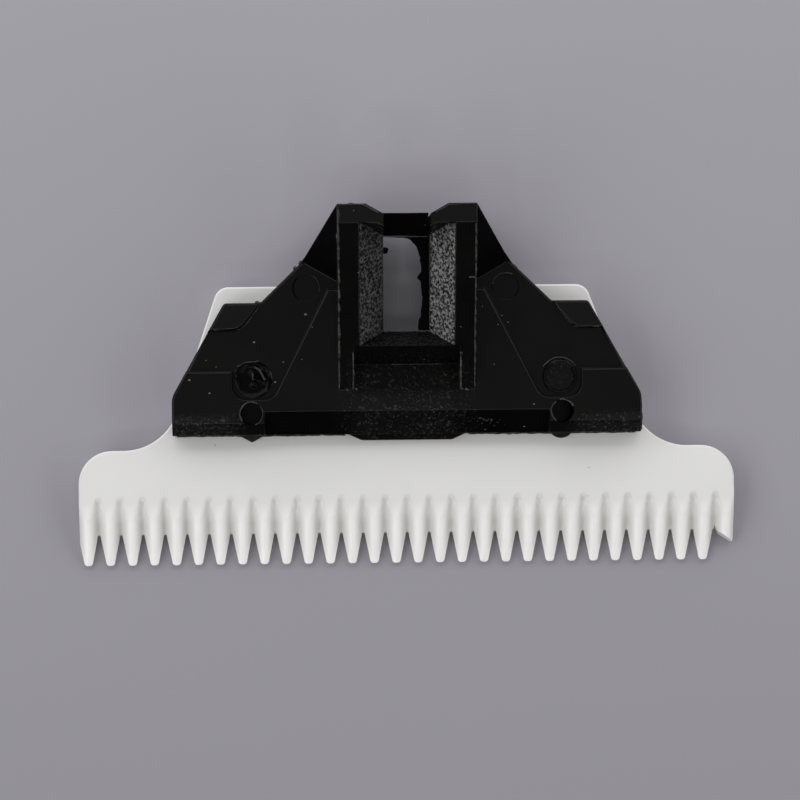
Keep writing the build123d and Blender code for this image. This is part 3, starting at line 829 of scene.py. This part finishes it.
def fine_line(points, steps):
    """Points along a smooth line through a few given ones."""
    ends = [points[0]] + list(points) + [points[-1]]
    line = []
    for before, start, end, after in zip(ends, ends[1:], ends[2:], ends[3:]):
        for step in range(steps):
            t = step / steps
            line.append(tuple(
                0.5 * (2 * b + (c - a) * t + (2 * a - 5 * b + 4 * c - d) * t ** 2
                       + (3 * b - a - 3 * c + d) * t ** 3)
                for a, b, c, d in zip(before, start, end, after)))
    line.append(tuple(points[-1]))
    return line


def top_of(node):
    """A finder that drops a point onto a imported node's upper side."""
    shape = bmesh.new()
    shape.from_mesh(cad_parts[node].data)
    tree = BVHTree.FromBMesh(shape)
    shape.free()

    def drop(x, y):
        place = tree.ray_cast(Vector((x, y, DROP_HEIGHT)), Vector((0, 0, -1)))[0]
        if place is None:
            raise RuntimeError("nothing of %s lies under %.4f, %.4f" % (node, x, y))
        return place.z

    return drop


class BLADE_OT_cutter_plate(Operator):
    """Dress the ceramic cutter plate"""

    bl_idname = "blade.cutter_plate"
    bl_label = "Cutter Plate"

    def execute(self, context):
        shape = joined_node("cutter_plate")
        cut_run_outs(shape)
        material = ceramic_finish(context.scene.blade_finishes.ceramic)
        piece = new_piece("ceramic_plate", shape, material, PLATE_SMOOTH_ANGLE)
        grind_shading(piece.data)
        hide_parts("cutter_plate")
        return {"FINISHED"}


class BLADE_OT_drive_follower(Operator):
    """Dress the moulded drive follower"""

    bl_idname = "blade.drive_follower"
    bl_label = "Drive Follower"

    def execute(self, context):
        scene = context.scene
        shape = joined_node("drive_follower")
        break_edges(shape, scene.blade_sizes.follower_edge)
        mark_faces(shape, GLOSS_MARK, mould_polish)
        raise_grain(shape, scene.blade_sizes)
        material = plastic_finish(scene.blade_finishes.plastic)
        piece = new_piece("follower_moulding", shape, material)
        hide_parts("drive_follower")
        flash_finish(scene.blade_finishes.plastic)
        return {"FINISHED"}


class BLADE_OT_adhesive_beads(Operator):
    """Dress the two beads of squeezed-out adhesive"""

    bl_idname = "blade.adhesive_beads"
    bl_label = "Adhesive Beads"

    def execute(self, context):
        material = adhesive_finish(context.scene.blade_finishes.adhesive)
        for side in ("left", "right"):
            node = "adhesive_bead_" + side
            shape = joined_node(node)
            piece = new_piece("adhesive_squeeze_" + side, shape, material)
            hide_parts(node)
        return {"FINISHED"}


class BLADE_OT_slot_flash(Operator):
    """Leave the moulding flash in the drive slot"""

    bl_idname = "blade.slot_flash"
    bl_label = "Slot Flash"

    def execute(self, context):
        thickness = context.scene.blade_sizes.flash_thickness
        foot = SLOT_FLASH_FOOT * MM
        wall = SLOT_WALL * MM
        shape = bmesh.new()
        rows = []
        for x, y in fine_line(SLOT_FLASH_EDGE, SLOT_FLASH_STEPS):
            wave = SLOT_FLASH_WAVE * MM * noise.noise(Vector((x, y, 0.0)) * SLOT_FLASH_WAVES)
            edge = x * MM + wave
            section = (
                (edge, foot + SLOT_FLASH_LIP * thickness), (edge + SLOT_FLASH_UNDER * MM, foot),
                (wall, foot), (wall, foot + thickness),
                (edge + SLOT_FLASH_OVER * MM, foot + thickness))
            rows.append([shape.verts.new((along, y * MM, up)) for along, up in section])
        for near, far in zip(rows, rows[1:]):
            for index in range(len(near)):
                after = (index + 1) % len(near)
                shape.faces.new((near[index], near[after], far[after], far[index]))
        shape.faces.new(rows[0])
        shape.faces.new(rows[-1])
        for (x, y), height, radii, seed in SLOT_LUMPS:
            add_lump(shape, (x * MM, y * MM, foot + height * MM), in_metres(radii), seed)
        material = bpy.data.materials["follower_black"]
        new_piece("slot_flash", shape, material)
        return {"FINISHED"}


class BLADE_OT_gate_mark(Operator):
    """Leave the torn sprue in the gate recess"""

    bl_idname = "blade.gate_mark"
    bl_label = "Gate Mark"

    def torn_height(self, x, y):
        along = TEAR_COSINE * x + TEAR_SINE * y
        across = -TEAR_SINE * x + TEAR_COSINE * y
        bend = along + TEAR_BEND * math.sin(TEAR_BENDS * across)
        ridges = sum(
            height * math.exp(-((bend - place) / width) ** 2)
            * math.exp(-((across - side) / length) ** 2)
            for height, place, width, side, length in TEAR_RIDGES)
        lump = Vector((TEAR_LUMPS * x, TEAR_LUMPS * y, TEAR_LUMP_SEED))
        fleck = Vector((TEAR_FLECKS * x, TEAR_FLECKS * y, TEAR_FLECK_SEED))
        tear = TEAR_LUMP * noise.noise(lump) + TEAR_FLECK * noise.noise(fleck)
        return TEAR_FLOOR + ridges + tear

    def rim(self, angle):
        x, y = math.cos(angle), math.sin(angle)
        spot = Vector((GATE_RIM_WAVES * x, GATE_RIM_WAVES * y, GATE_RIM_SEED))
        wander = GATE_RIM_WANDER * noise.noise(spot)
        return GATE_RADIUS * (GATE_RIM - GATE_RIM_SHIFT * x + wander)

    def execute(self, context):
        middle_x, middle_y = GATE_PLACE
        floor = top_of("drive_follower")(middle_x * MM, middle_y * MM)
        shape = bmesh.new()
        grid = []
        for ring in range(1, GATE_RINGS + 1):
            row = []
            outer = (ring / GATE_RINGS) ** GATE_RIM_POWER
            for spoke in range(GATE_SPOKES):
                angle = 2 * math.pi * spoke / GATE_SPOKES
                radius = self.rim(angle) * ring / GATE_RINGS
                x, y = radius * math.cos(angle), radius * math.sin(angle)
                height = self.torn_height(x, y) * (1.0 - outer) + GATE_RIM_HEIGHT * outer
                row.append(shape.verts.new(
                    ((middle_x + x) * MM, (middle_y + y) * MM, floor + height * MM)))
            grid.append(row)
        top = shape.verts.new(
            (middle_x * MM, middle_y * MM, floor + self.torn_height(0, 0) * MM))
        base = [shape.verts.new((corner.co.x, corner.co.y, floor - GATE_SINK * MM))
                for corner in grid[-1]]
        grid.append(base)
        for spoke in range(GATE_SPOKES):
            after = (spoke + 1) % GATE_SPOKES
            shape.faces.new((top, grid[0][spoke], grid[0][after]))
            for near, far in zip(grid, grid[1:]):
                shape.faces.new((near[spoke], far[spoke], far[after], near[after]))
        shape.faces.new(reversed(base))
        material = bpy.data.materials["follower_black"]
        new_piece("gate_tear", shape, material)
        return {"FINISHED"}


class BLADE_OT_burr_lines(Operator):
    """Draw the burrs and flash along the follower's edges and hole rims"""

    bl_idname = "blade.burr_lines"
    bl_label = "Burr Lines"

    def tree(self):
        tree = new_tree("burr_along_line", (
            ("Lines", "Geometry"), ("Spacing", "Float"), ("Lump Pitch", "Float"),
            ("Wander", "Float"), ("Material", "Material")), "Burr")
        nodes, links = tree.nodes, tree.links

        def sum_of(operation, first, second):
            node = nodes.new("ShaderNodeMath")
            node.operation = operation
            for socket, value in zip(node.inputs, (first, second)):
                if isinstance(value, float):
                    socket.default_value = value
                else:
                    links.new(value, socket)
            return node.outputs[0]

        given = nodes.new("NodeGroupInput")
        result = nodes.new("NodeGroupOutput")
        to_curve = nodes.new("GeometryNodeMeshToCurve")
        spaced = nodes.new("GeometryNodeResampleCurve")
        spaced.mode = "LENGTH"
        lumps = nodes.new("ShaderNodeTexNoise")
        lumps.inputs["Detail"].default_value = 2.0
        thick = nodes.new("GeometryNodeInputNamedAttribute")
        thick.data_type = "FLOAT"
        thick.inputs["Name"].default_value = THICK_MARK
        centred = nodes.new("ShaderNodeVectorMath")
        centred.operation = "SUBTRACT"
        centred.inputs[1].default_value = (0.5, 0.5, 0.5)
        stray = nodes.new("ShaderNodeVectorMath")
        stray.operation = "SCALE"
        moved = nodes.new("GeometryNodeSetPosition")
        ring = nodes.new("GeometryNodeCurvePrimitiveCircle")
        ring.inputs["Resolution"].default_value = BURR_SIDES
        ring.inputs["Radius"].default_value = 1.0
        tube = nodes.new("GeometryNodeCurveToMesh")
        tube.inputs["Fill Caps"].default_value = True
        realize = nodes.new("GeometryNodeRealizeInstances")
        paint = nodes.new("GeometryNodeSetMaterial")
        swell = sum_of("MULTIPLY", sum_of("SUBTRACT", lumps.outputs["Fac"], SWELL_FROM), SWELL)
        for source, target in (
                (given.outputs["Lines"], to_curve.inputs["Mesh"]),
                (to_curve.outputs["Curve"], spaced.inputs["Curve"]),
                (given.outputs["Spacing"], spaced.inputs["Length"]),
                (sum_of("DIVIDE", 1.0, given.outputs["Lump Pitch"]), lumps.inputs["Scale"]),
                (lumps.outputs["Color"], centred.inputs[0]),
                (centred.outputs["Vector"], stray.inputs["Vector"]),
                (given.outputs["Wander"], stray.inputs["Scale"]),
                (spaced.outputs["Curve"], moved.inputs["Geometry"]),
                (stray.outputs["Vector"], moved.inputs["Offset"]),
                (moved.outputs["Geometry"], tube.inputs["Curve"]),
                (ring.outputs["Curve"], tube.inputs["Profile Curve"]),
                (sum_of("MULTIPLY", thick.outputs["Attribute"], swell), tube.inputs["Scale"]),
                (tube.outputs["Mesh"], realize.inputs["Geometry"]),
                (realize.outputs["Geometry"], paint.inputs["Geometry"]),
                (given.outputs["Material"], paint.inputs["Material"]),
                (paint.outputs["Geometry"], result.inputs["Burr"])):
            links.new(source, target)
        return tree

    def lines(self):
        drop = top_of("drive_follower")
        corners, edges, thickness = [], [], []
        for line, height, thick in BURRS:
            for index, (x, y) in enumerate(line):
                z = drop(x * MM, y * MM) if height is None else height * MM
                if index:
                    edges.append((len(corners) - 1, len(corners)))
                corners.append((x * MM, y * MM, z))
                thickness.append(thick * MM)
        mesh = bpy.data.meshes.new("burr_lines")
        mesh.from_pydata(corners, edges, [])
        mark = mesh.attributes.new(THICK_MARK, "FLOAT", "POINT")
        mark.data.foreach_set("value", thickness)
        return mesh

    def execute(self, context):
        sizes = context.scene.blade_sizes
        burrs = grown_piece("burr_lines", self.lines(), self.tree(), {
            "Spacing": sizes.burr_spacing, "Lump Pitch": sizes.burr_pitch,
            "Wander": sizes.burr_wander, "Material": bpy.data.materials["follower_flash"]})
        outward = bmesh.new()
        outward.from_mesh(burrs.data)
        bmesh.ops.recalc_face_normals(outward, faces=outward.faces)
        outward.to_mesh(burrs.data)
        outward.free()
        burrs.data.shade_smooth()
        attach(burrs, BODY)
        return {"FINISHED"}


class BLADE_OT_edge_burrs(Operator):
    """Leave small nibs of flash along the follower's edges"""

    bl_idname = "blade.edge_burrs"
    bl_label = "Edge Burrs"

    def execute(self, context):
        shape = bmesh.new()
        for index, nib in enumerate(EDGE_NIBS):
            add_lump(shape, in_metres(nib[:3]), in_metres(nib[3:]),
                     seed=1.0 + NIB_SEED_STEP * index, roughness=NIB_ROUGHNESS)
        material = bpy.data.materials["follower_flash"]
        new_piece("edge_nibs", shape, material)
        return {"FINISHED"}


class BLADE_OT_dust(Operator):
    """Scatter dust grains over the follower"""

    bl_idname = "blade.dust"
    bl_label = "Dust"

    def tree(self):
        tree = new_tree("dust_over_surface", (
            ("Surface", "Geometry"), ("Density", "Float"), ("Grain Size", "Float"),
            ("Seed", "Int"), ("Material", "Material")), "Dust")
        nodes, links = tree.nodes, tree.links
        given = nodes.new("NodeGroupInput")
        result = nodes.new("NodeGroupOutput")
        scatter = nodes.new("GeometryNodeDistributePointsOnFaces")
        grain = nodes.new("GeometryNodeMeshIcoSphere")
        grain.inputs["Subdivisions"].default_value = 1
        spread = nodes.new("FunctionNodeRandomValue")
        spread.data_type = "FLOAT_VECTOR"
        spread.inputs["Min"].default_value = DUST_LEAST
        spread.inputs["Max"].default_value = DUST_MOST
        place = nodes.new("GeometryNodeInstanceOnPoints")
        realize = nodes.new("GeometryNodeRealizeInstances")
        paint = nodes.new("GeometryNodeSetMaterial")
        for source, target in (
                (given.outputs["Surface"], scatter.inputs["Mesh"]),
                (given.outputs["Density"], scatter.inputs["Density"]),
                (given.outputs["Seed"], scatter.inputs["Seed"]),
                (given.outputs["Seed"], spread.inputs["Seed"]),
                (given.outputs["Grain Size"], grain.inputs["Radius"]),
                (scatter.outputs["Points"], place.inputs["Points"]),
                (scatter.outputs["Rotation"], place.inputs["Rotation"]),
                (grain.outputs["Mesh"], place.inputs["Instance"]),
                (spread.outputs["Value"], place.inputs["Scale"]),
                (place.outputs["Instances"], realize.inputs["Geometry"]),
                (realize.outputs["Geometry"], paint.inputs["Geometry"]),
                (given.outputs["Material"], paint.inputs["Material"]),
                (paint.outputs["Geometry"], result.inputs["Dust"])):
            links.new(source, target)
        return tree

    def carrier(self):
        shape = joined_node("drive_follower")
        hidden = [face for face in shape.faces
                  if face.normal.z < DUST_RISE or face.calc_center_median().z < DUST_FOOT]
        bmesh.ops.delete(shape, geom=hidden, context="FACES")
        mesh = bpy.data.meshes.new("dust_grains")
        shape.to_mesh(mesh)
        shape.free()
        return mesh

    def execute(self, context):
        sizes = context.scene.blade_sizes
        dust = grown_piece("dust_grains", self.carrier(), self.tree(), {
            "Density": sizes.dust_density, "Grain Size": sizes.dust_size,
            "Seed": sizes.dust_seed, "Material": dust_finish()})
        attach(dust, BODY)
        return {"FINISHED"}


class BLADE_OT_specks(Operator):
    """Leave the larger pale specks on the follower and a crumb beside the left bead"""

    bl_idname = "blade.specks"
    bl_label = "Specks"

    def execute(self, context):
        drop = top_of("drive_follower")
        shape = bmesh.new()
        for index, (x, y, radius) in enumerate(PALE_SPECKS):
            centre = (x * MM, y * MM, drop(x * MM, y * MM))
            radii = [share * radius * MM for share in SPECK_SHAPE]
            add_lump(shape, centre, radii, seed=2.0 + index)
        add_lump(shape, in_metres(CRUMB_PLACE), in_metres(CRUMB_RADII), seed=1.0,
                 roughness=NIB_ROUGHNESS)
        new_piece("pale_specks", shape, bpy.data.materials["dust_pale"])
        return {"FINISHED"}


class BLADE_OT_stage(Operator):
    """Set the table, the soft boxes and the camera"""

    bl_idname = "blade.stage"
    bl_label = "Stage"

    def lay_table(self, scene):
        mesh = bpy.data.meshes.new("table")
        corners = [(x * TABLE_REACH, y * TABLE_REACH, -TABLE_SINK)
                   for x, y in ((-1, -1), (1, -1), (1, 1), (-1, 1))]
        mesh.from_pydata(corners, [], [(0, 1, 2, 3)])
        mesh.materials.append(floor_finish(scene.blade_finishes.floor))
        table = bpy.data.objects.new("table", mesh)
        scene.collection.objects.link(table)

    def hang_box(self, scene, name, power, place, size):
        lamp = bpy.data.lights.new(name, "AREA")
        lamp.shape = "RECTANGLE"
        lamp.size, lamp.size_y = size
        lamp.energy = power
        box = bpy.data.objects.new(name, lamp)
        box.location = place
        box.rotation_euler = (Vector() - Vector(place)).to_track_quat("-Z", "Y").to_euler()
        scene.collection.objects.link(box)

    def light_room(self, scene):
        world = bpy.data.worlds.new("room")
        world.use_nodes = True
        background = world.node_tree.nodes["Background"]
        background.inputs["Color"].default_value = (1.0, 1.0, 1.0, 1.0)
        background.inputs["Strength"].default_value = scene.blade_stage.room_light
        scene.world = world

    def place_camera(self, scene):
        stage = scene.blade_stage
        view = bpy.data.cameras.new("photo_camera")
        view.lens = stage.camera_lens
        view.sensor_width = SENSOR_WIDTH
        view.clip_start = NEAREST
        camera = bpy.data.objects.new("photo_camera", view)
        camera.location = (stage.camera_x, stage.camera_y, stage.camera_height)
        lean = math.atan2(stage.camera_x - stage.aim_x, stage.camera_height - PLATE_TOP)
        camera.rotation_euler = (0.0, lean, stage.camera_roll)
        scene.collection.objects.link(camera)
        scene.camera = camera

    def execute(self, context):
        scene = context.scene
        self.lay_table(scene)
        for name, setting, share, place, size in SOFT_BOXES:
            power = share * getattr(scene.blade_stage, setting)
            self.hang_box(scene, name, power, place, size)
        self.light_room(scene)
        self.place_camera(scene)
        scene.view_settings.view_transform = "Standard"
        return {"FINISHED"}


STEPS = (
    BLADE_OT_cutter_plate,
    BLADE_OT_drive_follower,
    BLADE_OT_slot_flash,
    BLADE_OT_gate_mark,
    BLADE_OT_burr_lines,
    BLADE_OT_edge_burrs,
    BLADE_OT_adhesive_beads,
    BLADE_OT_dust,
    BLADE_OT_specks,
    BLADE_OT_stage,
)


class BLADE_PT_steps(Panel):
    """Lists the steps that dress the blade"""

    bl_idname = "BLADE_PT_steps"
    bl_label = "Clipper Blade"
    bl_space_type = "VIEW_3D"
    bl_region_type = "UI"
    bl_category = "Blade"

    def draw(self, context):
        scene = context.scene
        for step in STEPS:
            self.layout.operator(step.bl_idname)
        for group in (scene.blade_finishes, scene.blade_sizes, scene.blade_stage):
            column = self.layout.column()
            for name in group.__annotations__:
                column.prop(group, name)


GROUPS = {"blade_finishes": BladeFinishes, "blade_sizes": BladeSizes, "blade_stage": BladeStage}


def register():
    for group in GROUPS.values():
        bpy.utils.register_class(group)
    for step in STEPS:
        bpy.utils.register_class(step)
    bpy.utils.register_class(BLADE_PT_steps)
    for name, group in GROUPS.items():
        setattr(bpy.types.Scene, name, PointerProperty(type=group))


def unregister():
    for name in GROUPS:
        delattr(bpy.types.Scene, name)
    bpy.utils.unregister_class(BLADE_PT_steps)
    for step in reversed(STEPS):
        bpy.utils.unregister_class(step)
    for group in reversed(GROUPS.values()):
        bpy.utils.unregister_class(group)


def main():
    register()
    bpy.ops.blade.cutter_plate()
    bpy.ops.blade.drive_follower()
    bpy.ops.blade.slot_flash()
    bpy.ops.blade.gate_mark()
    bpy.ops.blade.burr_lines()
    bpy.ops.blade.edge_burrs()
    bpy.ops.blade.adhesive_beads()
    bpy.ops.blade.dust()
    bpy.ops.blade.specks()
    bpy.ops.blade.stage()


if __name__ == "__main__":
    main()
